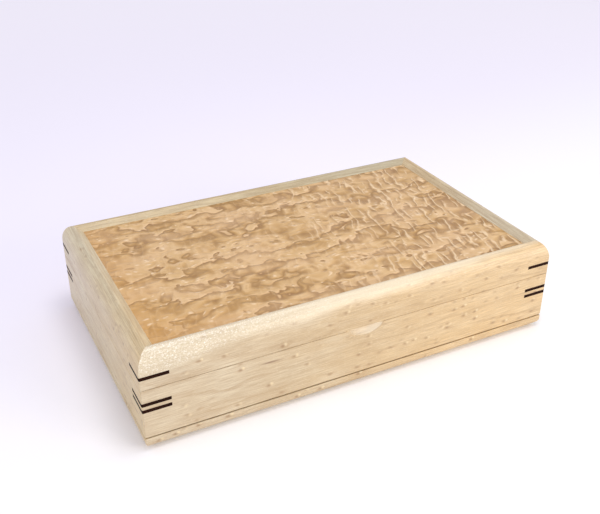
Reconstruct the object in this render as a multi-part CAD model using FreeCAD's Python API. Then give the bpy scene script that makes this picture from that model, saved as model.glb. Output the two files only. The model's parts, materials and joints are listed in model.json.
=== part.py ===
"""Wooden puzzle box: a mitred maple case with a crowned, hinged lid, a sliding base and a hidden lid lock.

Frame: millimetres, origin at the centre of the base's underside, +X along the front, +Y towards the
hinged back, +Z up.  Side members are drawn once as a section (t, z), where t is measured inwards from the
box's outer face, and then laid along the front, back, left or right.
"""
import FreeCAD
import Part
import math
import os

V = FreeCAD.Vector
Z_AXIS = V(0, 0, 1)

# ---- outside ----
LENGTH = 300.0               # along X
WIDTH = 184.3                # along Y
STOCK = 13.5                 # thickness of every wall and lid rail
ARRIS = 0.8                  # rounding of the four upright corners
EASE = 0.3                   # small bevel along each seam's outer edges
TALL = 200.0                 # taller than the box, for cutting shapes

# ---- heights ----
BASE_TOP = 9.0
BASE_GAP = 0.9               # running gap between the base and the case
CASE_BOTTOM = BASE_TOP + BASE_GAP
CASE_TOP = 44.4
LID_GAP = 0.2                # closed lid's gap over the case rim
LID_BOTTOM = CASE_TOP + LID_GAP
SEAM = CASE_TOP + LID_GAP / 2

# ---- lid ----
CROWN_START = SEAM + 10.0    # where the outer face starts to round over
CROWN_RISE = 11.2            # length of the curve's upright handle
PANEL_TOP = SEAM + 20.8      # the lid panel's face, level with the rail's inner edge
CROWN_SLOPE = math.tan(math.radians(33))   # the rail's inner slope, rising from panel to crest
CROWN_JOIN = 8.6             # t where the round-over meets the inner slope
CROWN_LEAD = 1.9             # length in t of the curve's handle along the inner slope
PANEL_GROOVE_BOTTOM = 58.2
PANEL_GROOVE_TOP = 62.2
PANEL_GROOVE_DEPTH = 4.1
PANEL_FACE_THICKNESS = 1.4
PANEL_SET_IN = 0.1           # the face sits this far below the rail's inner edge
FIT = 0.05                   # hairline gap round a panel or tongue

# ---- corner keys ----
KEY_LEG = 18.4               # length seen on each face
KEY_THICKNESS = 2.4
LID_KEY_Z = SEAM + 8.63
CASE_KEY_Z = {"upper": SEAM - 10.13, "lower": SEAM - 14.77}

# ---- case inside ----
FLOOR_BOTTOM = 19.5          # the lock bay lies under the floor
FLOOR_TOP = 25.5
FLOOR_GROOVE_DEPTH = 4.5
FLOOR_EXPANSION = 0.5        # room for the floor to swell in its groove
LINER_THICKNESS = 3.5
LINER_TOP = CASE_TOP + 4.2   # the liner stands proud of the rim and locates the lid
LINER_RELIEF = 0.3           # lid clearance where the liner stands proud
LINER_ROUND = 1.2

# ---- thumb scoop in the front wall, under the lid ----
SCOOP_HALF_WIDTH = 14.0
SCOOP_HEIGHT = 6.5
SCOOP_DEPTH = 4.0

# ---- hinges ----
HINGE_X = (-90.0, 90.0)
HINGE_NAMES = ("left", "right")
HINGE_OFFSET = 1.2           # pin axis behind the back face
HINGE_Y = WIDTH / 2 + HINGE_OFFSET
LEAF_LENGTH = 38.0
LEAF_REACH = 10.0            # leaf depth over the rim, from the back face
LEAF_THICKNESS = 1.5
KNUCKLE_RADIUS = 2.2
KNUCKLE_CLEARANCE = 0.3
KNUCKLE_PITCH = LEAF_LENGTH / 3
KNUCKLE_END_GAP = 0.15
PIN_HEAD = 0.8               # coned end of a hinge pin, outside the knuckles
HINGE_PIN_RADIUS = 1.1
HINGE_BORE_RADIUS = 1.15
SCREW_PITCH = 13.0
SCREW_INSET = 5.6            # screw row, in from the back face

# ---- screws: head radius, shank radius, head height, length ----
HINGE_SCREW = (2.0, 1.0, 1.2, 9.0)
KEEPER_SCREW = (2.2, 1.1, 1.2, 7.5)
BASE_SCREW = (3.2, 1.6, 1.8, 11.0)
SLOT_HALF_WIDTH = 0.25
SLOT_DEPTH = 0.5
SLOT_TURN = 37.0             # each screw's slot stops this many degrees on from the last one's

# ---- lock: a bar that slides along X behind the front liner ----
CHANNEL_DEPTH_T = 9.7        # the channel is routed from the inside face to this t
CHANNEL_BOTTOM = 27.6
CHANNEL_TOP = 40.4
BAR_T = (10.2, 13.2)
BAR_Z = (28.0, 31.8)
BAR_X = (-118.0, 64.0)
LOCK_TRAVEL = 8.0
CATCH_X = (-75.0, 75.0)
CATCH_HALF_WIDTH = 7.0
CATCH_T = (10.4, 12.9)
CATCH_BOTTOM = 32.4
CATCH_ROOT = 56.0            # top of the catch inside the lid rail
CATCH_NOTCH_Z = (34.4, 38.8)
CATCH_NOTCH_DEPTH = 7.0
CATCH_SLOT_HALF = 9.5
HOOK_NOSE_Z = (34.9, 38.2)
HOOK_TIP_GAP = 1.5           # unlocked gap between a hook's tip and its catch
HOOK_NOSE_LENGTH = 7.1
HOOK_STEM = 4.4
ARM_X = (-118.0, -106.0)
ARM_BOTTOM = 12.0
ARM_WAY_BOTTOM = 11.0
TAB_REACH_T = 26.0
TAB_Z = (11.0, 17.0)
TAB_GROOVES = 5
TAB_GROOVE_PITCH = 2.0
TAB_GROOVE_HALF = 0.4
TAB_GROOVE_DEPTH = 0.7

# ---- sliding base ----
BASE_RAIL = 20.0             # width of the base's mitred frame
BASE_ROUND = 7.0             # round-over of the bottom edge
BASE_PANEL_Z = (0.0, BASE_TOP)       # flush with the rails on both faces
BASE_TONGUE_Z = (3.0, 6.0)
BASE_TONGUE = 5.0
BASE_TRAVEL = 80.0
BASE_SCREW_PITCH = 80.0
PLUG_RADIUS = 3.6
PLUG_TOP = 3.6               # a plug fills its hole up to the screw's head
SLIDE_Y = (-45.0, 45.0)
SLIDE_NAMES = ("front", "back")
WALL_IN_X = LENGTH / 2 - STOCK             # inner face of the left and right walls
STOP_GAP = 0.2               # runner end to wall at each end of the travel
RUNNER_X = (-WALL_IN_X + STOP_GAP, WALL_IN_X - STOP_GAP - BASE_TRAVEL)
RUNNER_STEM = 4.0            # half widths of the T-shaped runner
RUNNER_HEAD = 7.0
RUNNER_SHOULDER = 14.0
RUNNER_TOP = 17.6
TRACK_X = (-64.0, WALL_IN_X)
TRACK_HALF = 12.0
TRACK_BOTTOM = 9.6
TRACK_CLEARANCE = 0.4
TRACK_HEAD_TOP = 18.2

# ---- gravity pins: up when the box is turned over, and then they hold the base ----
PIN_X = -40.0
PIN_Y = (-12.0, 12.0)
PIN_RADIUS = 2.5
PIN_BORE_RADIUS = 2.6
PIN_Z = (4.6, 15.7)
PIN_BORE_BOTTOM = 4.5
PIN_BLOCK_HALF = (9.0, 22.0)
PIN_BLOCK_TOP = 16.0
KEEPER_BOTTOM = 16.5
KEEPER_SLOT_HALF = 3.1       # half the slot between the two keeper bars
KEEPER_BAR = (9.0, 22.0)     # width and half length of a bar
KEEPER_SCREW_Y = (-14.0, 14.0)

PARTS = "parts"


# ---- drawing helpers ----
def box(x_span, y_span, z_span):
    size = [b - a for a, b in (x_span, y_span, z_span)]
    return Part.makeBox(*size, V(x_span[0], y_span[0], z_span[0]))


def centred(middle, half):
    return (middle - half, middle + half)


def prism(points, direction):
    """Extrude a closed polygon of vectors."""
    return Part.Face(Part.makePolygon(points + points[:1])).extrude(direction)


def cylinder_x(radius, x_span, y, z):
    return Part.makeCylinder(radius, x_span[1] - x_span[0], V(x_span[0], y, z), V(1, 0, 0))


def front_y(t):
    """Y of a depth t measured inwards from the front face."""
    return t - WIDTH / 2


def front_box(x_span, t_span, z_span):
    return box(x_span, (front_y(t_span[0]), front_y(t_span[1])), z_span)


def rounded_outline():
    """The box's plan with eased corners, as a tall column that trims every outside piece."""
    column = box(centred(0, LENGTH / 2), centred(0, WIDTH / 2), (-1, TALL))
    upright = [e for e in column.Edges if abs(e.tangentAt(e.FirstParameter).z) > 0.9]
    return column.makeFillet(ARRIS, upright)


OUTLINE = rounded_outline()
SIDES = {
    "front": (0, V(0, -WIDTH / 2, 0), LENGTH),
    "back": (180, V(0, WIDTH / 2, 0), LENGTH),
    "left": (-90, V(-LENGTH / 2, 0, 0), WIDTH),
    "right": (90, V(LENGTH / 2, 0, 0), WIDTH),
}


def section(points):
    """A wire through (t, z) points; a 4-tuple of points is one Bezier curve between its ends."""
    edges = []
    last = None
    for item in points:
        if isinstance(item[0], tuple):
            curve = Part.BezierCurve()
            curve.setPoles([V(0, t, z) for t, z in item])
            edges.append(curve.toShape())
            last = item[-1]
        else:
            if last is not None:
                edges.append(Part.makeLine(V(0, *last), V(0, *item)))
            last = item
    edges.append(Part.makeLine(V(0, *last), V(0, *points[0])))
    return Part.Wire(edges)


def mitred(side, points, reach):
    """Lay a section along one side, cut both ends at 45 degrees, and trim the upright corners."""
    angle, origin, length = SIDES[side]
    bar = Part.Face(section(points)).extrude(V(length, 0, 0))
    bar.translate(V(-length / 2, 0, 0))
    half = length / 2
    plan = [V(-half, 0, -1), V(half, 0, -1), V(half - reach, reach, -1), V(reach - half, reach, -1)]
    bar = bar.common(prism(plan, V(0, 0, TALL)))
    bar.rotate(V(0, 0, 0), Z_AXIS, angle)
    bar.translate(origin)
    return bar.common(OUTLINE)


def key_blank(sign_x, sign_y, middle):
    corner = V(sign_x * LENGTH / 2, sign_y * WIDTH / 2, middle - KEY_THICKNESS / 2)
    points = [corner, corner - V(sign_x * KEY_LEG, 0, 0), corner - V(0, sign_y * KEY_LEG, 0)]
    return prism(points, V(0, 0, KEY_THICKNESS))


def corner_keys(stem, levels):
    """One slip key per corner and level, named by its corner."""
    keys = {}
    for sign_x, end in ((-1, "left"), (1, "right")):
        for sign_y, face in ((-1, "front"), (1, "back")):
            for level, middle in levels.items():
                name = "_".join(word for word in (stem, face, end, level) if word)
                keys[name] = key_blank(sign_x, sign_y, middle)
    return keys


def wood_screw(place, direction, size):
    """A countersunk screw whose head is flush at place and whose shank runs along direction."""
    head_radius, shank_radius, head_height, length = size
    head = Part.makeCone(head_radius, shank_radius, head_height, place, direction)
    shank = Part.makeCylinder(shank_radius, length, place, direction)
    return head.fuse(shank).removeSplitter()


def slotted(screws, heads_face):
    """Upright screws with a straight driver slot in each head; heads_face is 1 for up, -1 for down."""
    cut = []
    for turn, screw in enumerate(screws):
        bounds = screw.BoundBox
        face = bounds.ZMax if heads_face > 0 else bounds.ZMin
        floor = face - heads_face * SLOT_DEPTH
        slot = box(centred(0, bounds.XLength), centred(0, SLOT_HALF_WIDTH), sorted((face, floor)))
        slot.rotate(V(0, 0, 0), Z_AXIS, SLOT_TURN * (turn + 1))
        slot.translate(V(bounds.Center.x, bounds.Center.y, 0))
        cut.append(screw.cut(slot))
    return Part.makeCompound(cut)


def cut_all(shape, tools):
    for tool in tools:
        shape = shape.cut(tool)
    return shape


# ---- case ----
def case_section():
    inner = STOCK - FLOOR_GROOVE_DEPTH
    return [
        (EASE, CASE_BOTTOM), (0, CASE_BOTTOM + EASE), (0, CASE_TOP - EASE), (EASE, CASE_TOP),
        (STOCK, CASE_TOP), (STOCK, FLOOR_TOP), (inner, FLOOR_TOP), (inner, FLOOR_BOTTOM),
        (STOCK, FLOOR_BOTTOM), (STOCK, CASE_BOTTOM),
    ]


def thumb_scoop():
    """A spindle along X whose belly cuts SCOOP_DEPTH in and SCOOP_HEIGHT down from the rim."""
    radius = (SCOOP_HEIGHT ** 2 + SCOOP_DEPTH ** 2) / (2 * SCOOP_DEPTH)
    stand_off = radius - SCOOP_DEPTH
    ends = [V(s * SCOOP_HALF_WIDTH, stand_off, 0) for s in (-1, 1)]
    arc = Part.Arc(ends[0], V(0, radius, 0), ends[1]).toShape()
    feet = [V(s * SCOOP_HALF_WIDTH, 0, 0) for s in (-1, 1)]
    wire = Part.Wire([arc, Part.makeLine(ends[1], feet[1]), Part.makeLine(feet[1], feet[0]),
                      Part.makeLine(feet[0], ends[0])])
    spindle = Part.Face(wire).revolve(V(0, 0, 0), V(1, 0, 0), 360)
    spindle.translate(V(0, -WIDTH / 2 - stand_off, CASE_TOP))
    return spindle


def lock_channel():
    """Room for the lock bar, the two catch slots above it, and the way down for its arm."""
    depth = (CHANNEL_DEPTH_T, STOCK)
    end_gap = 1.0
    channel_x = (BAR_X[0] - end_gap, CATCH_X[1] + CATCH_SLOT_HALF)
    cuts = [front_box(channel_x, depth, (CHANNEL_BOTTOM, CHANNEL_TOP))]
    for x in CATCH_X:
        cuts.append(front_box(centred(x, CATCH_SLOT_HALF), depth, (CHANNEL_TOP, CASE_TOP)))
    cuts.append(arm_way(depth, CHANNEL_BOTTOM))
    return cuts


def arm_way(depth, top):
    end_gap = 1.0
    span = (ARM_X[0] - end_gap, ARM_X[1] + LOCK_TRAVEL + end_gap)
    return front_box(span, depth, (ARM_WAY_BOTTOM, top))


def hinge_seat(x, z_span):
    """What a leaf needs cut from its wall or rail: a mortise and a round relief for the knuckles."""
    relief_x = centred(x, LEAF_LENGTH / 2 + PIN_HEAD + KNUCKLE_CLEARANCE)
    relief = cylinder_x(KNUCKLE_RADIUS + KNUCKLE_CLEARANCE, relief_x, HINGE_Y, SEAM)
    return box(centred(x, LEAF_LENGTH / 2), (WIDTH / 2 - LEAF_REACH, HINGE_Y), z_span).fuse(relief)


def leaf_plate(x, z_span):
    span = (WIDTH / 2 - LEAF_REACH, HINGE_Y - KNUCKLE_RADIUS - KNUCKLE_CLEARANCE)
    return box(centred(x, LEAF_LENGTH / 2), span, z_span)


CASE_LEAF_Z = (CASE_TOP - LEAF_THICKNESS, CASE_TOP)
LID_LEAF_Z = (LID_BOTTOM, LID_BOTTOM + LEAF_THICKNESS)


def hinge_screws(x, upward):
    """Three screws per leaf; heads face the seam."""
    z = LID_BOTTOM if upward else CASE_TOP
    way = V(0, 0, 1 if upward else -1)
    y = WIDTH / 2 - SCREW_INSET
    return [wood_screw(V(x + i * SCREW_PITCH, y, z), way, HINGE_SCREW) for i in (-1, 0, 1)]


def case_walls(keys, screws):
    walls = {}
    for side in SIDES:
        wall = mitred(side, case_section(), STOCK)
        if side == "front":
            wall = cut_all(wall, [thumb_scoop()] + lock_channel())
        if side == "back":
            wall = cut_all(wall, [hinge_seat(x, CASE_LEAF_Z) for x in HINGE_X] + screws)
        walls["case_wall_" + side] = cut_all(wall, keys)
    return walls


def floor_panel():
    inset = STOCK - FLOOR_GROOVE_DEPTH + FLOOR_EXPANSION
    panel = box(centred(0, LENGTH / 2 - inset), centred(0, WIDTH / 2 - inset), (FLOOR_BOTTOM, FLOOR_TOP))
    return panel.cut(arm_way((0, STOCK + 0.2), FLOOR_TOP + 1))


def liners():
    """Thin strips that close the lock channel and stand proud of the rim to locate the lid."""
    outer, inner = STOCK, STOCK + LINER_THICKNESS
    proud = outer + LINER_RELIEF
    crown = ((proud, LINER_TOP - LINER_ROUND), (proud, LINER_TOP), (inner, LINER_TOP),
             (inner, LINER_TOP - LINER_ROUND))
    points = [(outer, FLOOR_TOP), (outer, CASE_TOP), (proud, CASE_TOP), crown[0], crown, (inner, FLOOR_TOP)]
    return {"liner_" + side: mitred(side, points, inner) for side in SIDES}


def case_leaf(x, screws):
    plate = leaf_plate(x, CASE_LEAF_Z)
    return finish_leaf(plate, x, (-1, 1), CASE_LEAF_Z, screws)


def lid_leaf(x, screws):
    plate = leaf_plate(x, LID_LEAF_Z)
    return finish_leaf(plate, x, (0,), LID_LEAF_Z, screws)


def finish_leaf(plate, x, knuckles, z_span, screws):
    """Add this leaf's knuckles, each joined to the plate, and drill the pin bore and screw holes."""
    for index in knuckles:
        span = centred(x + index * KNUCKLE_PITCH, KNUCKLE_PITCH / 2 - KNUCKLE_END_GAP)
        neck = box(span, (WIDTH / 2 - LEAF_REACH, HINGE_Y), z_span)
        plate = plate.fuse([cylinder_x(KNUCKLE_RADIUS, span, HINGE_Y, SEAM), neck])
    whole = centred(x, LEAF_LENGTH)
    plate = plate.cut(cylinder_x(HINGE_BORE_RADIUS, whole, HINGE_Y, SEAM))
    return cut_all(plate, screws).removeSplitter()


def hinge_pin(x):
    """A straight pin with a shallow coned head at each end."""
    half = LEAF_LENGTH / 2
    pin = cylinder_x(HINGE_PIN_RADIUS, centred(x, half), HINGE_Y, SEAM)
    for sign in (-1, 1):
        dome = Part.makeCone(KNUCKLE_RADIUS - 0.3, HINGE_PIN_RADIUS, PIN_HEAD,
                             V(x + sign * half, HINGE_Y, SEAM), V(sign, 0, 0))
        pin = pin.fuse(dome)
    return pin.removeSplitter()


# ---- lid ----
def lid_section():
    join_z = PANEL_TOP + (STOCK - CROWN_JOIN) * CROWN_SLOPE
    crown = ((0, CROWN_START), (0, CROWN_START + CROWN_RISE),
             (CROWN_JOIN - CROWN_LEAD, join_z + CROWN_LEAD * CROWN_SLOPE), (CROWN_JOIN, join_z))
    groove = STOCK - PANEL_GROOVE_DEPTH
    return [
        (EASE, LID_BOTTOM), (0, LID_BOTTOM + EASE), crown[0], crown, (STOCK, PANEL_TOP),
        (STOCK, PANEL_GROOVE_TOP), (groove, PANEL_GROOVE_TOP), (groove, PANEL_GROOVE_BOTTOM),
        (STOCK, PANEL_GROOVE_BOTTOM), (STOCK, LID_BOTTOM),
    ]


def catch(x):
    """A tongue that hangs from the lid's front rail, with a notch open towards -X."""
    left, right = centred(x, CATCH_HALF_WIDTH)
    plate = front_box((left, right), CATCH_T, (CATCH_BOTTOM, CATCH_ROOT))
    return plate.cut(front_box((left, left + CATCH_NOTCH_DEPTH), CATCH_T, CATCH_NOTCH_Z))


def catch_pins(x):
    """Two cross pins that hold a catch in its mortise."""
    t_from, length, radius, z, offset = 7.0, 6.5, 1.0, 51.0, 3.5
    return [Part.makeCylinder(radius, length, V(x + s * offset, front_y(t_from), z), V(0, 1, 0))
            for s in (-1, 1)]


def lid_rails(keys, screws, catches, pins):
    rails = {}
    for side in SIDES:
        rail = mitred(side, lid_section(), STOCK)
        if side == "front":
            rail = cut_all(rail, catches + pins)
        if side == "back":
            rail = cut_all(rail, [hinge_seat(x, LID_LEAF_Z) for x in HINGE_X] + screws)
        rails["lid_rail_" + side] = cut_all(rail, keys)
    return rails


def plan_slab(inset, z_span):
    return box(centred(0, LENGTH / 2 - inset), centred(0, WIDTH / 2 - inset), z_span)


def lid_panel():
    """The core, tongued into the rails, and the figured face laid on it."""
    face_top = PANEL_TOP - PANEL_SET_IN
    face_bottom = face_top - PANEL_FACE_THICKNESS
    tongue = plan_slab(STOCK - PANEL_GROOVE_DEPTH + FLOOR_EXPANSION,
                       (PANEL_GROOVE_BOTTOM + FIT, PANEL_GROOVE_TOP - FIT))
    body = plan_slab(STOCK + FIT, (PANEL_GROOVE_TOP - 1, face_bottom))
    return {
        "lid_panel_core": tongue.fuse(body).removeSplitter(),
        "lid_panel_face": plan_slab(STOCK + FIT, (face_bottom, face_top)),
    }


# ---- lock ----
def lock_bar():
    bar = front_box(BAR_X, BAR_T, BAR_Z)
    arm = front_box(ARM_X, BAR_T, (ARM_BOTTOM, BAR_Z[0] + 1))
    return bar.fuse(arm).removeSplitter()


def lock_hook(x):
    """An L on the bar's top edge; its nose slides into the catch's notch."""
    tip = x - CATCH_HALF_WIDTH - HOOK_TIP_GAP
    shoulder = tip - HOOK_NOSE_LENGTH
    stem = front_box((shoulder - HOOK_STEM, shoulder), BAR_T, (BAR_Z[1], HOOK_NOSE_Z[1]))
    nose = front_box((shoulder - 1, tip), BAR_T, HOOK_NOSE_Z)
    return stem.fuse(nose).removeSplitter()


def finger_tab():
    """A ribbed pad under the floor, at the foot of the arm."""
    tab = front_box(ARM_X, (BAR_T[1], TAB_REACH_T), TAB_Z)
    tab = tab.makeFillet(1.0, [e for e in tab.Edges if abs(e.tangentAt(e.FirstParameter).z) > 0.9])
    for i in range(TAB_GROOVES):
        groove_x = centred(ARM_X[0] + (i + 1) * TAB_GROOVE_PITCH, TAB_GROOVE_HALF)
        depth = (TAB_Z[0], TAB_Z[0] + TAB_GROOVE_DEPTH)
        tab = tab.cut(front_box(groove_x, (BAR_T[1] + 2, TAB_REACH_T), depth))
    return tab


# ---- base ----
def base_section():
    inner = BASE_RAIL - BASE_TONGUE
    handle = BASE_ROUND * 0.5523     # a Bezier handle of this length draws a quarter circle
    edge = ((BASE_ROUND, 0), (BASE_ROUND - handle, 0), (0, BASE_ROUND - handle), (0, BASE_ROUND))
    return [
        edge[0], edge, (0, BASE_TOP - EASE), (EASE, BASE_TOP), (BASE_RAIL, BASE_TOP),
        (BASE_RAIL, BASE_TONGUE_Z[1]), (inner, BASE_TONGUE_Z[1]), (inner, BASE_TONGUE_Z[0]),
        (BASE_RAIL, BASE_TONGUE_Z[0]), (BASE_RAIL, 0),
    ]


def base_fixings():
    """Screws up through the base panel into the runners, and the plugs that hide their heads."""
    screws, plugs = [], []
    middle = sum(RUNNER_X) / 2
    for y in SLIDE_Y:
        for x in (middle - BASE_SCREW_PITCH, middle, middle + BASE_SCREW_PITCH):
            screws.append(wood_screw(V(x, y, PLUG_TOP), Z_AXIS, BASE_SCREW))
            plugs.append(Part.makeCylinder(PLUG_RADIUS, PLUG_TOP - BASE_PANEL_Z[0], V(x, y, BASE_PANEL_Z[0])))
    return screws, plugs


def runner(y, screws):
    """A T-shaped runner on the base that hangs in the track."""
    stem = box(RUNNER_X, centred(y, RUNNER_STEM), (BASE_PANEL_Z[1], RUNNER_TOP))
    head = box(RUNNER_X, centred(y, RUNNER_HEAD), (RUNNER_SHOULDER, RUNNER_TOP))
    return cut_all(stem.fuse(head).removeSplitter(), screws)


def track(y):
    block = box(TRACK_X, centred(y, TRACK_HALF), (TRACK_BOTTOM, FLOOR_BOTTOM))
    mouth = box(TRACK_X, centred(y, RUNNER_STEM + TRACK_CLEARANCE), (TRACK_BOTTOM, TRACK_HEAD_TOP))
    head = box(TRACK_X, centred(y, RUNNER_HEAD + TRACK_CLEARANCE),
               (RUNNER_SHOULDER - TRACK_CLEARANCE, TRACK_HEAD_TOP))
    return cut_all(block, [mouth, head])


def pin_bores():
    return [Part.makeCylinder(PIN_BORE_RADIUS, PIN_BLOCK_TOP - PIN_BORE_BOTTOM, V(PIN_X, y, PIN_BORE_BOTTOM))
            for y in PIN_Y]


def base_panel(screws, plugs):
    tongue_z = (BASE_TONGUE_Z[0] + FIT, BASE_TONGUE_Z[1] - FIT)
    tongue = plan_slab(BASE_RAIL - BASE_TONGUE + FLOOR_EXPANSION, tongue_z)
    body = plan_slab(BASE_RAIL + FIT, BASE_PANEL_Z)
    return cut_all(tongue.fuse(body).removeSplitter(), screws + plugs + pin_bores())


def pin_block():
    half_x, half_y = PIN_BLOCK_HALF
    block = box(centred(PIN_X, half_x), centred(0, half_y), (BASE_PANEL_Z[1], PIN_BLOCK_TOP))
    return cut_all(block, pin_bores())


def gravity_pin(y):
    pin = Part.makeCylinder(PIN_RADIUS, PIN_Z[1] - PIN_Z[0], V(PIN_X, y, PIN_Z[0]))
    return pin.makeChamfer(0.5, [e for e in pin.Edges if e.Closed])


def keeper_x(sign):
    """X span of the keeper bar on one side of the slot."""
    near = PIN_X + sign * KEEPER_SLOT_HALF
    return sorted((near, near + sign * KEEPER_BAR[0]))


def keeper_screws():
    """Two screws up through each keeper bar into the floor."""
    return [wood_screw(V(sum(keeper_x(sign)) / 2, y, KEEPER_BOTTOM), Z_AXIS, KEEPER_SCREW)
            for sign in (-1, 1) for y in KEEPER_SCREW_Y]


def keeper_bar(sign, screws):
    """One of the two bars under the floor that the raised pins stand between."""
    bar = box(keeper_x(sign), centred(0, KEEPER_BAR[1]), (KEEPER_BOTTOM, FLOOR_BOTTOM))
    return cut_all(bar, screws)


# ---- the whole box ----
def build():
    nodes = {}
    case_keys = corner_keys("case_key", CASE_KEY_Z)
    lid_keys = corner_keys("lid_key", {"": LID_KEY_Z})
    case_screws = [s for x in HINGE_X for s in hinge_screws(x, upward=False)]
    lid_screws = [s for x in HINGE_X for s in hinge_screws(x, upward=True)]
    catches = [catch(x) for x in CATCH_X]
    pins = [p for x in CATCH_X for p in catch_pins(x)]
    base_screws, base_plugs = base_fixings()
    bar_screws = keeper_screws()

    nodes.update(case_walls(list(case_keys.values()), case_screws))
    nodes.update({name: key.common(OUTLINE) for name, key in case_keys.items()})
    nodes["floor_panel"] = cut_all(floor_panel(), bar_screws)
    nodes.update(liners())
    nodes.update({"guide_track_" + name: track(y) for name, y in zip(SLIDE_NAMES, SLIDE_Y)})
    for name, sign in (("left", -1), ("right", 1)):
        nodes["keeper_bar_" + name] = keeper_bar(sign, bar_screws)
    nodes["keeper_screws"] = slotted(bar_screws, -1)
    nodes["hinge_screws_case"] = slotted(case_screws, 1)

    nodes.update(lid_rails(list(lid_keys.values()), lid_screws, catches, pins))
    nodes.update({name: key.common(OUTLINE) for name, key in lid_keys.items()})
    nodes.update(lid_panel())
    nodes["hinge_screws_lid"] = slotted(lid_screws, -1)
    nodes["catch_pins"] = Part.makeCompound(pins)
    for name, x in zip(HINGE_NAMES, HINGE_X):
        nodes["hinge_leaf_case_" + name] = case_leaf(x, case_screws)
        nodes["hinge_leaf_lid_" + name] = lid_leaf(x, lid_screws)
        nodes["hinge_pin_" + name] = hinge_pin(x)
    for name, x, tongue in zip(HINGE_NAMES, CATCH_X, catches):
        nodes["lid_catch_" + name] = cut_all(tongue, pins)
        nodes["lock_hook_" + name] = lock_hook(x)

    nodes["lock_bar"] = lock_bar()
    nodes["finger_tab"] = finger_tab()
    nodes.update({"base_rail_" + side: mitred(side, base_section(), BASE_RAIL) for side in SIDES})
    nodes["base_panel"] = base_panel(base_screws, base_plugs)
    nodes.update({"base_runner_" + name: runner(y, base_screws) for name, y in zip(SLIDE_NAMES, SLIDE_Y)})
    nodes["base_screws"] = slotted(base_screws, -1)
    nodes["base_plugs"] = Part.makeCompound(base_plugs)
    nodes["pin_block"] = pin_block()
    nodes.update({"gravity_pin_" + name: gravity_pin(y) for name, y in zip(SLIDE_NAMES, PIN_Y)})
    return nodes


os.makedirs(PARTS, exist_ok=True)
for node, shape in build().items():
    shape.exportStep(os.path.join(PARTS, node + ".step"))
    print(node, "valid" if shape.isValid() else "INVALID", len(shape.Solids), round(shape.Volume, 1))
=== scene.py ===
"""Looks, light and camera for the wooden puzzle box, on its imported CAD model.

Blender's units are metres.  Patterns inside the materials are laid out in millimetres: every material
starts from millimetre(), which turns object coordinates into the board's own millimetre frame.
"""
import json
import math

import bpy
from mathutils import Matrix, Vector


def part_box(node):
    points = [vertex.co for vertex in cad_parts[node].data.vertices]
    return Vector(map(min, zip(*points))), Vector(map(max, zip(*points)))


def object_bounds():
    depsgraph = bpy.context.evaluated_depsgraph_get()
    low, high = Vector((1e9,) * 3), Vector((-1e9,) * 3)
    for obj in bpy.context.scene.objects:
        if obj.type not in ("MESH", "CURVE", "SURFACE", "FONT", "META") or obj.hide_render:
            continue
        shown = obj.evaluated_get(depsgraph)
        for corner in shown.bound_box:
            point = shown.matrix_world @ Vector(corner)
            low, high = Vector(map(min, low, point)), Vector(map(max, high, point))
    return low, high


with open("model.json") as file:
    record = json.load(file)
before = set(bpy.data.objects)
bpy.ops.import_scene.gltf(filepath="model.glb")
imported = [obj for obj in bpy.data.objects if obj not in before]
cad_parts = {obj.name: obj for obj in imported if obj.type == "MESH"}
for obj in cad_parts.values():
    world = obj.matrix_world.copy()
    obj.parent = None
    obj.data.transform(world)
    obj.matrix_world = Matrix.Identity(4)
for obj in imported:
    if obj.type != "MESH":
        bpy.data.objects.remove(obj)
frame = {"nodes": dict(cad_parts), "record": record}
CAD_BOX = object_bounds()
NODES = frame["nodes"]

MM = 1000                    # millimetres in a metre
HALF_LENGTH_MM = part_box("case_wall_right")[1].x * MM
HALF_WIDTH_MM = -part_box("case_wall_front")[0].y * MM
SEAM_MM = (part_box("case_wall_front")[1].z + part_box("lid_rail_front")[0].z) / 2 * MM
SIDE_TURN = {"front": 0, "back": 180, "left": 90, "right": -90}    # degrees that bring a side to the front


def srgb(red, green, blue):
    """Linear RGBA from 0 to 255 display values."""
    values = [v / 255 for v in (red, green, blue)]
    return tuple(v / 12.92 if v <= 0.04045 else ((v + 0.055) / 1.055) ** 2.4 for v in values) + (1,)


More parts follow.
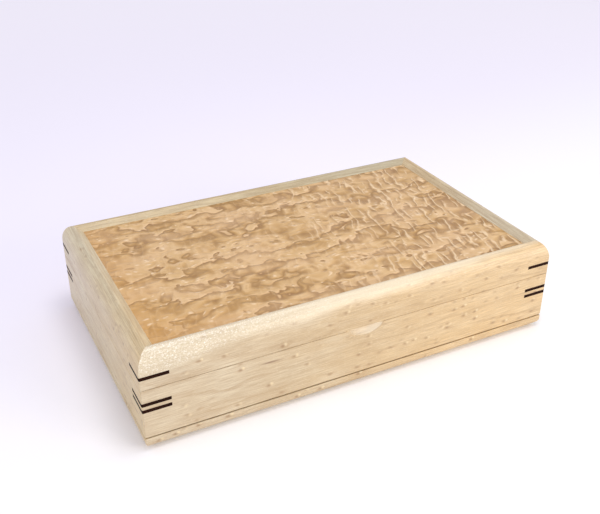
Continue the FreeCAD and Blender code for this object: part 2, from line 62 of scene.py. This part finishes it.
class Graph:
    """A material's node tree, with one short method for each kind of node."""

    def __init__(self, name):
        self.material = bpy.data.materials.new(name)
        self.material.use_nodes = True
        self.tree = self.material.node_tree
        self.shader = self.tree.nodes["Principled BSDF"]

    def feed(self, socket, value):
        """Link a socket to another node's output, or set it to a constant."""
        if isinstance(value, bpy.types.NodeSocket):
            self.tree.links.new(value, socket)
        else:
            socket.default_value = value

    def node(self, kind, inputs, **settings):
        """A new shader node: inputs go to its sockets, settings to its properties."""
        node = self.tree.nodes.new("ShaderNode" + kind)
        for key, value in settings.items():
            setattr(node, key, value)
        for key, value in inputs.items():
            self.feed(node.inputs[key], value)
        return node

    def millimetre(self, turn=0, shift=(0, 0, 0)):
        """Object coordinates in millimetres, turned about Z by a number of degrees and then shifted."""
        point = self.node("TexCoord", {}).outputs["Object"]
        rotation = (0, 0, math.radians(turn))
        inputs = {"Vector": point, "Scale": (MM,) * 3, "Rotation": rotation, "Location": shift}
        return self.node("Mapping", inputs).outputs[0]

    def scaled(self, point, sizes, shift=(0, 0, 0)):
        """A point in a pattern whose features are sizes millimetres across."""
        inputs = {"Vector": point, "Scale": tuple(1 / s for s in sizes), "Location": shift}
        return self.node("Mapping", inputs).outputs[0]

    def split(self, point):
        return self.node("SeparateXYZ", {"Vector": point}).outputs

    def point(self, x, y):
        return self.node("CombineXYZ", {"X": x, "Y": y}).outputs[0]

    def vector(self, operation, a, b):
        return self.node("VectorMath", {0: a, 1: b}, operation=operation).outputs["Vector"]

    def length(self, vector):
        return self.node("VectorMath", {0: vector}, operation="LENGTH").outputs["Value"]

    def math(self, operation, *values):
        return self.node("Math", dict(enumerate(values)), operation=operation).outputs[0]

    def add(self, *values):
        total = values[0]
        for value in values[1:]:
            total = self.math("ADD", total, value)
        return total

    def times(self, *values):
        product = values[0]
        for value in values[1:]:
            product = self.math("MULTIPLY", product, value)
        return product

    def span(self, value, low, high, to_low=0.0, to_high=1.0):
        """Smoothly from to_low at low to to_high at high."""
        inputs = {"Value": value, "From Min": low, "From Max": high, "To Min": to_low, "To Max": to_high}
        return self.node("MapRange", inputs, interpolation_type="SMOOTHSTEP").outputs[0]

    def ramp(self, value, stops):
        """A colour for each value, from (value, colour) stops in rising order."""
        node = self.node("ValToRGB", {"Fac": value})
        elements = node.color_ramp.elements
        while len(elements) < len(stops):
            elements.new(0.5)
        for element, (place, colour) in zip(elements, stops):
            element.position = place
            element.color = colour
        return node.outputs["Color"]

    def mix(self, factor, a, b, blend="MIX"):
        factor_socket, a_socket, b_socket, colour_output = 0, 6, 7, 2    # a Mix node's colour sockets
        inputs = {factor_socket: factor, a_socket: a, b_socket: b}
        return self.node("Mix", inputs, data_type="RGBA", blend_type=blend).outputs[colour_output]

    def layer(self, colour, strength, paint):
        """A colour with paint laid over it, at a strength from 0 to 1."""
        return self.mix(strength, colour, paint)

    def noise(self, point, detail=2.0, roughness=0.5):
        inputs = {"Vector": point, "Scale": 1.0, "Detail": detail, "Roughness": roughness}
        return self.node("TexNoise", inputs).outputs[0]

    def noise_vector(self, point, size):
        """A random offset of up to half a size either way on each axis."""
        node = self.node("TexNoise", {"Vector": point, "Scale": 1.0, "Detail": 1.0})
        centred = self.vector("SUBTRACT", node.outputs["Color"], (0.5,) * 3)
        return self.vector("MULTIPLY", centred, (size,) * 3)

    def cells(self, point, **settings):
        """A cell pattern in the plane, with each cell's own distance, chance colour and place."""
        settings["voronoi_dimensions"] = "2D"
        return self.node("TexVoronoi", {"Vector": point, "Scale": 1.0}, **settings).outputs

    def bump(self, height, depth_mm):
        """Relief whose height runs from 0 to 1 over depth_mm."""
        inputs = {"Height": height, "Distance": depth_mm / MM, "Strength": 1.0}
        return self.node("Bump", inputs).outputs[0]

    def finish(self, **sockets):
        """Feed the Principled shader; underscores in a name stand for spaces."""
        for name, value in sockets.items():
            self.feed(self.shader.inputs[name.replace("_", " ")], value)
        return self.material


# ---- bird's-eye maple ----
MAPLE_COLOUR = {
    "shade": srgb(199, 171, 124),
    "body": srgb(216, 191, 147),
    "light": srgb(229, 210, 172),
    "cloud": srgb(212, 200, 170),
    # left_end_cool_light and right_end_warm_light: partly the boards' own drift in colour, partly painted
    # light, cooler and paler at the left end, warmer and brighter towards the right
    "left_end_cool_light": srgb(228, 216, 188),
    "right_end_warm_light": srgb(244, 205, 141),
    "late_wood": srgb(172, 136, 86),
    "fibre": srgb(166, 134, 92),
    "ray_fleck": srgb(232, 216, 182),
    "eye_tail": srgb(184, 144, 96),
    # painted highlight beside each eye
    "eye_pale_highlight": srgb(246, 226, 180),
    "eye_dark": srgb(140, 98, 52),
    # painted highlight: the glare along the front's crown, with its flecks
    "sapwood": srgb(244, 232, 202),
    "glare_fleck_bright": srgb(255, 252, 238),
    "glare_fleck_dark": srgb(200, 186, 148),
    # painted highlight in the finger scoop
    "scoop": srgb(252, 238, 208),
    "streak": srgb(126, 86, 50),
}
# Painted light: each side's face is made brighter or darker as the light falls on that side, the left face
# brighter and the back darker.
FACE_PAINTED_LIGHT = {
    "front": (1, 1, 1),
    "back": (0.93, 0.96, 0.95),
    "left": (1.10, 1.15, 1.12),
    "right": (0.97, 1, 1),
}
SLOPE_PAINTED_SHADE = {                 # painted shade on the slope from the crown down to the panel
    "front": (1, 1, 1),
    "back": (0.77, 0.82, 0.81),
    "left": (0.95, 0.99, 0.99),
    "right": (0.97, 1, 1),
}
SLOPE_DEPTH_MM = (3.0, 7.0)    # a board's painted light on its face gives way to the painted shade on its slope between these depths
RING_DEPTH_MM = 2.6            # spacing of the growth rings into the board
RING_RISE_MM = 15.0            # and up its face
MAPLE_RELIEF_MM = 0.13

EYE_CELL_MM = 8.0              # mean spacing where the eyes stand close together
EYE_STRETCH = 1.15             # how much further apart they stand along the grain
EYE_LEAN = 0.75                # how far the eyes climb for each millimetre into the board
EYE_FADE_MM = (9.0, 6.0)       # they are gone at the first depth and whole at the second
EYE_CROWDING = 1.7             # how strongly the eyes gather in clouds
EYE_RIGHTWARD = 0.0012         # how much they gather towards the right, for each millimetre
EYE_CUTOFF = (1.62, 1.72)      # the sum of chance and gathering that an eye needs to show

CROWN_GLARE_MM = (SEAM_MM + 14, SEAM_MM + 23)  # the painted glare band starts and is whole at these heights
SCOOP_SHIFT_MM = 2.0                       # the scoop's painted highlight lies this far right of the middle
STREAK_CENTRE_MM = (83.0, SEAM_MM - 6.0)   # the brown mineral streak, from the front board's left end
STREAK_HALF_MM = (10.5, 1.1)
STREAK_SLOPE = 0.02


def birds_eyes(g, along, depth, up):
    """Masks of each eye's dark comma and of the pale lobe beside it, a painted highlight, and of the faint
    tails along the grain.
    """
    face = g.point(along, g.add(up, g.times(depth, EYE_LEAN)))
    wander = g.noise_vector(g.scaled(face, (30, 30, 30)), 6)
    place = g.scaled(g.vector("ADD", face, wander), (EYE_CELL_MM * EYE_STRETCH, EYE_CELL_MM, 1))
    cell = g.cells(place)
    offset = g.vector("SUBTRACT", place, cell["Position"])
    offset = g.vector("MULTIPLY", offset, (EYE_CELL_MM * EYE_STRETCH, EYE_CELL_MM, 0))
    chance = g.split(cell["Color"])
    crowd = g.noise(g.scaled(face, (60, 20, 1), (3, 7, 0)), 1)
    gathering = g.add(chance[0], g.times(crowd, EYE_CROWDING), g.times(along, EYE_RIGHTWARD))
    present = g.times(g.span(gathering, *EYE_CUTOFF), g.span(depth, *EYE_FADE_MM))
    strength = g.times(present, g.span(chance[1], 0.0, 1.0, 0.35, 1.0))

    def spot(centre, radii, core):
        shifted = g.vector("SUBTRACT", offset, centre)
        distance = g.length(g.vector("DIVIDE", shifted, radii))
        return g.times(g.span(distance, 1.0, core), strength)

    lobe = g.point(g.span(chance[2], 0.2, 0.8, -0.2, 1.5), g.span(chance[1], 0.2, 0.8, -1.0, 0.9))
    dark = spot((-0.6, 0.1, 0), (2.8, 1.8, 1), 0.0)
    # painted highlight: the pale lobe lies to the right of the dark comma
    pale = g.times(spot(lobe, (2.1, 1.8, 1), 0.1), g.span(chance[2], 0.0, 1.0, 0.4, 1.0))
    tail = spot((0.0, 0.0, 0), (7.0, 1.7, 1), 0.0)
    return dark, pale, tail


def sapwood_band(g, colour, board, wave):
    """A painted highlight: a pale glare band along the front's crown, stippled with bright and dark flecks
    that are strongest at its left end.
    """
    along, depth, up = g.split(board)
    height = g.add(g.times(depth, 0.2), up, g.times(along, -0.06), g.times(wave, 16))
    sapwood = g.span(height, *CROWN_GLARE_MM)
    colour = g.layer(colour, g.times(sapwood, g.span(along, 40, 150, 0.25, 0.6)), MAPLE_COLOUR["sapwood"])
    fleck = g.noise(g.scaled(board, (1.1, 0.7, 0.7)), 2, 0.7)
    flecked = g.times(sapwood, g.span(along, 150, 20, 0.2, 1.0))
    bright = g.times(flecked, g.span(fleck, 0.5, 0.7, 0.0, 0.8))
    dark = g.times(flecked, g.span(fleck, 0.48, 0.3, 0.0, 0.9))
    colour = g.layer(colour, bright, MAPLE_COLOUR["glare_fleck_bright"])
    return g.layer(colour, dark, MAPLE_COLOUR["glare_fleck_dark"])


def scoop_painted_highlight(g, colour, board):
    """A painted highlight where the finger scoop is cut into the front, on the part that catches the light,
    brighter towards its right.
    """
    along, depth, up = g.split(board)
    beside = g.math("ABSOLUTE", g.add(along, -HALF_LENGTH_MM, -SCOOP_SHIFT_MM))
    hollow = g.times(g.span(depth, 0.1, 0.8), g.span(depth, 4.5, 2.0))
    reach = g.times(g.span(up, SEAM_MM - 9, SEAM_MM - 7), g.span(up, SEAM_MM + 0.1, SEAM_MM - 1.5))
    scoop = g.times(hollow, reach, g.span(beside, 16, 8))
    strength = g.span(along, HALF_LENGTH_MM - 9, HALF_LENGTH_MM + 6, 0.35, 0.8)
    return g.layer(colour, g.times(scoop, strength), MAPLE_COLOUR["scoop"])


def mineral_streak(g, colour, board, fibre):
    """One thin brown streak under the seam."""
    along, _, up = g.split(board)
    centre_along, centre_up = STREAK_CENTRE_MM
    half_along, half_up = STREAK_HALF_MM
    aside = g.add(along, -centre_along)
    above = g.add(up, -centre_up, g.times(aside, STREAK_SLOPE))
    offset = g.point(g.times(aside, 1 / half_along), g.times(above, 1 / half_up))
    streak = g.times(g.span(g.length(offset), 1.0, 0.1), g.span(fibre, 0.3, 0.6, 0.5, 0.95))
    return g.layer(colour, streak, MAPLE_COLOUR["streak"])


def maple(side):
    """One board runs round each side of lid, case and base, so its figure carries across the seams."""
    g = Graph("maple_" + side)
    half_run, half_depth = HALF_LENGTH_MM, HALF_WIDTH_MM
    if side in ("left", "right"):
        half_run, half_depth = half_depth, half_run
    board = g.millimetre(SIDE_TURN[side], (half_run, half_depth, 0))
    along, depth, up = g.split(board)

    # Feature sizes are millimetres along, into and up the board.
    wave = g.noise(g.scaled(board, (85, 16, 13)), 2)
    ring = g.math("FRACT", g.add(g.times(depth, 1 / RING_DEPTH_MM), g.times(up, 1 / RING_RISE_MM),
                                 g.times(wave, 3.2)))
    late_wood = g.times(g.span(ring, 0.55, 0.93), g.span(ring, 1.0, 0.95))
    fibre = g.noise(g.scaled(board, (16, 0.7, 0.42)), 2, 0.6)
    ray_fleck = g.noise(g.scaled(board, (2.2, 0.5, 0.45), (5, 0, 0)), 1)
    blotch = g.noise(g.scaled(board, (34, 14, 9), (0, 4, 9)), 2)
    cloud = g.noise(g.scaled(board, (70, 60, 34), (8, 0, 2)), 1)
    stipple = g.noise(g.scaled(board, (1.5, 0.9, 0.9)), 2, 0.7)
    dark, pale, tail = birds_eyes(g, along, depth, up)

    colour = g.ramp(blotch, [(0.28, MAPLE_COLOUR["shade"]), (0.5, MAPLE_COLOUR["body"]),
                             (0.72, MAPLE_COLOUR["light"])])
    for name, strength in (
        ("cloud", g.span(cloud, 0.35, 0.7, 0.0, 0.4)),
        # partly painted light: cooler and paler at the left end, warmer and brighter towards the right
        ("left_end_cool_light", g.span(along, 140, 20, 0.0, 0.5)),
        ("right_end_warm_light", g.span(along, 90, 250, 0.0, 0.55)),
        ("late_wood", g.times(late_wood, g.span(wave, 0.35, 0.65, 0.08, 0.40))),
        ("fibre", g.span(fibre, 0.30, 0.72, 0.55, 0.0)),
        ("ray_fleck", g.span(ray_fleck, 0.56, 0.74, 0.0, 0.35)),
        ("eye_tail", g.times(tail, 0.35)),
        ("eye_pale_highlight", g.times(pale, 0.7)),
        ("eye_dark", g.times(dark, 0.6)),
    ):
        colour = g.layer(colour, strength, MAPLE_COLOUR[name])
    # Painted light and shade: each side's face and slope are multiplied by their own brightness.
    painted_light_tint = g.mix(g.span(depth, *SLOPE_DEPTH_MM), (*FACE_PAINTED_LIGHT[side], 1), (*SLOPE_PAINTED_SHADE[side], 1))
    colour = g.mix(1.0, colour, painted_light_tint, "MULTIPLY")
    if side == "front":
        # painted highlight along the front's crown
        colour = sapwood_band(g, colour, board, wave)
        # painted highlight in the finger scoop
        colour = scoop_painted_highlight(g, colour, board)
        colour = mineral_streak(g, colour, board, fibre)

    relief = g.add(g.times(fibre, 0.4), g.times(pale, 0.8), g.times(dark, -0.9), g.times(stipple, 1.1))
    roughness = g.add(g.times(stipple, -0.35), g.times(fibre, 0.12), 0.50)
    return g.finish(Base_Color=colour, Roughness=roughness, Normal=g.bump(relief, MAPLE_RELIEF_MM),
                    Specular_IOR_Level=1.0)


# ---- figured ash, the lid's panel ----
CONTOUR_COLOUR_AND_SHADE = [            # across one contour step, from its pale front edge to the dark line behind: the ash's own ring colours, with painted highlight at the front edge and painted shade towards the dark line
    (0.0, srgb(196, 152, 92)),
    (0.09, srgb(246, 210, 160)),
    (0.32, srgb(224, 186, 128)),
    (0.58, srgb(210, 167, 104)),
    (0.8, srgb(176, 132, 66)),
    (0.95, srgb(144, 100, 44)),
]
VALLEY_COLOUR = [             # the same where a step fades both ways
    (0.0, srgb(160, 118, 58)),
    (0.22, srgb(200, 157, 95)),
    (0.5, srgb(232, 194, 138)),
]
PANEL_COLOUR = {
    "tone_light": srgb(226, 188, 142),
    "tone_dark": srgb(194, 153, 92),
    "golden_edge": srgb(208, 154, 74),
    "stroke": srgb(188, 148, 96),
    "trough": srgb(148, 106, 54),
    "crest": srgb(255, 226, 182),
    "grain": srgb(170, 131, 80),
    # painted glints
    "speck": srgb(248, 218, 176),
}
CONTOUR_MM = 34.0            # spacing of the contours across the panel, where it has no hills
RIPPLE_MM = 7.0              # spacing of the cross ripples
RIPPLE_LEAN = 0.19           # how far they lean along X for each millimetre along Y
PANEL_RELIEF_MM = 0.45


def cross_ripples(g, x, y):
    """Masks of the ripples' crests, where highlight is painted, and troughs, where shade is painted, and of
    the patches where there are any.
    """
    leaning = g.point(g.add(x, g.times(y, -RIPPLE_LEAN)), y)
    drift = g.noise(g.scaled(leaning, (10, 26, 1)), 2, 0.55)
    ripple = g.math("FRACT", g.add(g.times(x, 1 / RIPPLE_MM), g.times(y, -RIPPLE_LEAN / RIPPLE_MM),
                                   g.times(drift, 2.6)))
    crest = g.times(g.span(ripple, 0.0, 0.1), g.span(ripple, 0.36, 0.14))
    trough = g.times(g.span(ripple, 0.5, 0.85), g.span(ripple, 1.0, 0.9))
    patches = g.span(g.noise(g.scaled(leaning, (11, 14, 1), (1, 6, 0)), 1), 0.40, 0.58)
    return crest, trough, patches


def figured_ash():
    """Rings cut nearly flat across a bumpy trunk: contours scalloped round blisters, and cross ripples."""
    g = Graph("figured_ash")
    sheet = g.millimetre(0, (HALF_LENGTH_MM, HALF_WIDTH_MM, 0))
    x, y, _ = g.split(sheet)
    plane = g.point(x, y)
    bent = g.vector("ADD", plane, g.noise_vector(g.scaled(plane, (26, 14, 1)), 16))
    hills = g.noise(g.scaled(plane, (80, 38, 1), (2, 5, 0)), 1)
    lobes = g.cells(g.scaled(bent, (13, 9.5, 1)), feature="SMOOTH_F1")["Distance"]
    knobs = g.cells(g.scaled(bent, (5.2, 4.2, 1)), feature="SMOOTH_F1")["Distance"]
    rightness = g.span(g.add(x, g.times(hills, 120)), 170, 320)    # 1 where the cross ripples take over
    height = g.add(g.times(y, 1 / CONTOUR_MM), g.times(hills, 3.0), g.times(lobes, 1.15),
                   g.times(knobs, g.span(rightness, 0, 1, 0.5, 0.2)))
    step = g.math("FRACT", height)
    crisp = g.span(g.noise(g.scaled(plane, (24, 14, 1), (7, 2, 0)), 1), 0.40, 0.58, 0.1, 0.85)

    grain = g.noise(g.scaled(plane, (9, 0.6, 1)), 2, 0.6)
    tone = g.noise(g.scaled(plane, (44, 26, 1), (9, 1, 0)), 2)
    edge = g.add(g.span(x, 46, 12), g.times(g.span(y, 60, 10), g.span(x, 110, 30)))
    crest, trough, patches = cross_ripples(g, x, y)
    stroke = g.times(patches, g.span(rightness, 0, 1, 0.15, 1.0))
    crest = g.times(crest, stroke)
    # painted glints: small bright spots on the pale parts of the contours
    speck = g.cells(g.scaled(bent, (6.5, 4.4, 1), (4, 4, 0)))
    chance = g.split(speck["Color"])
    lit = g.span(speck["Distance"], g.span(chance[1], 0, 1, 0.2, 0.42), 0.05)
    bright = g.times(lit, g.times(g.span(chance[0], 0.6, 0.64), g.span(step, 0.8, 0.35)))

    # The contour colours hold painted highlight and shade as well as the ash's own figure.
    valley = g.ramp(g.math("PINGPONG", g.add(step, 0.1), 0.5), VALLEY_COLOUR)
    colour = g.mix(crisp, valley, g.ramp(step, CONTOUR_COLOUR_AND_SHADE))
    for name, strength in (
        ("tone_light", g.span(tone, 0.44, 0.68, 0.0, 0.45)),
        ("tone_dark", g.span(tone, 0.5, 0.3, 0.0, 0.4)),
        ("golden_edge", g.times(edge, 0.4)),
        ("stroke", g.times(stroke, 0.35)),
        # the ripple figure's light and dark stripes, painted as shade in the troughs and highlight on the
        # crests
        ("trough", g.times(trough, stroke, 0.6)),
        ("crest", g.times(crest, 0.75)),
        ("grain", g.span(grain, 0.3, 0.7, 0.25, 0.0)),
        ("speck", g.times(bright, 0.7)),
    ):
        colour = g.layer(colour, strength, PANEL_COLOUR[name])

    swell = g.times(g.span(step, 0.0, 0.2), g.span(step, 1.0, 0.3))
    relief = g.add(swell, g.times(lobes, -0.6), g.times(knobs, -0.8), g.times(bright, 0.5),
                   g.times(crest, 0.7), g.times(grain, 0.15))
    roughness = g.add(g.times(grain, 0.15), 0.38)
    return g.finish(Base_Color=colour, Roughness=roughness, Normal=g.bump(relief, PANEL_RELIEF_MM),
                    Coat_Weight=0.15, Coat_Roughness=0.25)


# ---- plain ash, inside the box ----
PLAIN_COLOUR = {
    "shade": srgb(196, 170, 128),
    "light": srgb(212, 188, 150),
    "porous": srgb(176, 142, 98),
    "fibre": srgb(172, 140, 98),
    "pores": srgb(130, 96, 60),
}
PLAIN_RELIEF_MM = 0.05


def plain_ash(name, turn=0):
    """Grain along X, or along Y when turned by 90 degrees, with lines of open pores in each ring."""
    g = Graph(name)
    board = g.millimetre(turn)
    _, across, up = g.split(board)
    wave = g.noise(g.scaled(board, (150, 34, 30)), 2)
    sweep = g.noise(g.scaled(board, (260, 60, 60), (3, 1, 0)), 1)
    rings = g.add(g.times(across, 1 / 9), g.times(up, 1 / 6), g.times(wave, 2.2), g.times(sweep, 5))
    ring = g.math("FRACT", rings)
    porous = g.times(g.span(ring, 0.5, 0.9), g.span(ring, 1.0, 0.97))
    fibre = g.noise(g.scaled(board, (14, 0.5, 0.5)), 2, 0.6)
    open_pore = g.span(g.noise(g.scaled(board, (5, 0.35, 0.35)), 1), 0.56, 0.66)
    pores = g.times(open_pore, porous)
    cloud = g.noise(g.scaled(board, (90, 50, 50)), 1)
    colour = g.ramp(cloud, [(0.3, PLAIN_COLOUR["shade"]), (0.7, PLAIN_COLOUR["light"])])
    colour = g.layer(colour, g.times(porous, 0.45), PLAIN_COLOUR["porous"])
    colour = g.layer(colour, g.span(fibre, 0.3, 0.7, 0.3, 0.0), PLAIN_COLOUR["fibre"])
    colour = g.layer(colour, g.times(pores, 0.7), PLAIN_COLOUR["pores"])
    roughness = g.add(g.times(porous, 0.12), 0.42)
    relief = g.times(pores, -1.0)
    return g.finish(Base_Color=colour, Roughness=roughness, Normal=g.bump(relief, PLAIN_RELIEF_MM))


# ---- wenge keys ----
WENGE_COLOUR = [(0.35, srgb(30, 12, 6)), (0.6, srgb(42, 18, 10)), (0.75, srgb(64, 32, 18))]
WENGE_PORE = srgb(82, 48, 30)
WENGE_RELIEF_MM = 0.03


def wenge():
    """Nearly black wood with fine level lines and a few paler pores."""
    g = Graph("wenge")
    board = g.millimetre()
    line = g.noise(g.scaled(board, (9, 9, 0.35)), 2, 0.6)
    pores = g.span(g.noise(g.scaled(board, (2.5, 2.5, 0.25)), 1), 0.6, 0.7)
    colour = g.layer(g.ramp(line, WENGE_COLOUR), g.times(pores, 0.4), WENGE_PORE)
    roughness = g.add(g.times(line, 0.2), 0.45)
    return g.finish(Base_Color=colour, Roughness=roughness, Normal=g.bump(line, WENGE_RELIEF_MM),
                    Specular_IOR_Level=0.05)


# ---- metals ----
BRUSH_RELIEF_MM = 0.004


def metal(name, light, dark, brush_mm, roughness):
    """Brushed metal with faint smears of handling; roughness is its mean."""
    g = Graph(name)
    place = g.millimetre()
    brush = g.noise(g.scaled(place, brush_mm), 2, 0.6)
    smear = g.noise(g.scaled(place, (7, 7, 7)), 2)
    brush_part, smear_part = 0.16, 0.18
    even_part = roughness - (brush_part + smear_part) / 2
    colour = g.layer(light, g.span(smear, 0.35, 0.7, 0.0, 0.6), dark)
    gloss = g.add(g.times(brush, brush_part), g.times(smear, smear_part), even_part)
    return g.finish(Base_Color=colour, Metallic=1.0, Roughness=gloss, Normal=g.bump(brush, BRUSH_RELIEF_MM))


# ---- a material for each node ----
def board_side(name):
    """Which side's board a maple node is cut from."""
    for side in SIDE_TURN:
        if name.endswith("_" + side):
            return side
    return "front"


MATERIALS = {
    "figured_ash": figured_ash(),
    "ash_inside": plain_ash("plain_ash"),
    "wenge": wenge(),
    "brass": metal("brass", srgb(222, 186, 112), srgb(186, 146, 78), (12, 0.25, 0.25), 0.36),
    "steel": metal("steel", srgb(200, 201, 204), srgb(158, 160, 165), (0.3, 0.3, 9), 0.34),
}
MAPLE = {side: maple(side) for side in SIDE_TURN}
ASH_ALONG_Y = plain_ash("plain_ash_across", 90)


def material_for(name, slot):
    if slot == "maple":
        return MAPLE[board_side(name)]
    if name in ("liner_left", "liner_right"):
        return ASH_ALONG_Y
    return MATERIALS[slot]


for part in frame["record"]["subparts"]:
    materials = NODES[part["node"]].data.materials
    materials.clear()
    materials.append(material_for(part["node"], part["material_slot"]))


# ---- floor, light and camera ----
FLOOR_SIZE = 12.0
FLOOR_DROP = 0.0002          # keeps the floor from touching the box's underside
FLOOR_NEAR = (0.93, 0.93, 0.93, 1)
FLOOR_BEHIND_SHADE = (0.90, 0.86, 0.94, 1)
FLOOR_FAR_LIGHT = (0.99, 0.95, 1.0, 1)
LENS_MM = 50.8
SENSOR_MM = 36.0
CAMERA_PLACE = (-0.2418, -0.4769, 0.3499)
CAMERA_DOWN = 29.34          # degrees below level
CAMERA_TURN = -26.83         # degrees from +Y, towards +X


def paper_floor():
    """White paper with a faint lilac cast, painted darker behind the box and paler far off as the light
    falls off across it, and given a faint glow of painted light though it is no lamp.
    """
    bpy.ops.mesh.primitive_plane_add(size=FLOOR_SIZE, location=(0, 0, CAD_BOX[0][2] - FLOOR_DROP))
    floor = bpy.context.object
    floor.name = "floor"
    g = Graph("paper")
    x, y, _ = g.split(g.node("TexCoord", {}).outputs["Object"])
    behind = g.add(g.times(x, -0.35), g.times(y, 0.9))
    # painted light: the paper darker behind the box and paler far off
    painted_light_tint = g.layer(FLOOR_NEAR, g.span(behind, -0.1, 0.2), FLOOR_BEHIND_SHADE)
    painted_light_tint = g.layer(painted_light_tint, g.span(g.length(g.point(x, y)), 0.4, 1.2), FLOOR_FAR_LIGHT)
    # painted light: a faint emission makes the paper glow
    floor.data.materials.append(g.finish(Base_Color=painted_light_tint, Roughness=0.9, Specular_IOR_Level=0.1,
                                         Emission_Color=painted_light_tint, Emission_Strength=0.08))


def softbox(name, place, aim, size, watts, colour=(1, 1, 1)):
    """A rectangular area light at place, turned to face aim."""
    lamp = bpy.data.lights.new(name, "AREA")
    lamp.shape = "RECTANGLE"
    lamp.size, lamp.size_y = size
    lamp.energy = watts
    lamp.color = colour
    obj = bpy.data.objects.new(name, lamp)
    bpy.context.scene.collection.objects.link(obj)
    obj.location = place
    obj.rotation_euler = (Vector(aim) - Vector(place)).to_track_quat("-Z", "Y").to_euler()


def world_light(colour, strength):
    world = bpy.data.worlds.new("studio")
    bpy.context.scene.world = world
    world.use_nodes = True
    background = world.node_tree.nodes["Background"]
    background.inputs["Color"].default_value = colour
    background.inputs["Strength"].default_value = strength


def camera():
    """Stands at the front left, looking down on the lid."""
    data = bpy.data.cameras.new("camera")
    data.sensor_width = SENSOR_MM
    data.lens = LENS_MM
    obj = bpy.data.objects.new("camera", data)
    bpy.context.scene.collection.objects.link(obj)
    obj.location = CAMERA_PLACE
    obj.rotation_euler = (math.radians(90 - CAMERA_DOWN), 0, math.radians(CAMERA_TURN))
    bpy.context.scene.camera = obj


paper_floor()
world_light(colour=(0.90, 0.90, 1.0, 1), strength=0.80)
softbox("key", place=(0.75, -1.15, 0.5), aim=(0, 0, 0.03), size=(0.8, 0.6), watts=7,
        colour=(1.0, 0.92, 0.80))
softbox("top", place=(0.04, -0.17, 0.95), aim=(-0.08, -0.06, 0.06), size=(0.45, 0.3), watts=2.6)
camera()
bpy.context.scene.view_settings.view_transform = "Standard"
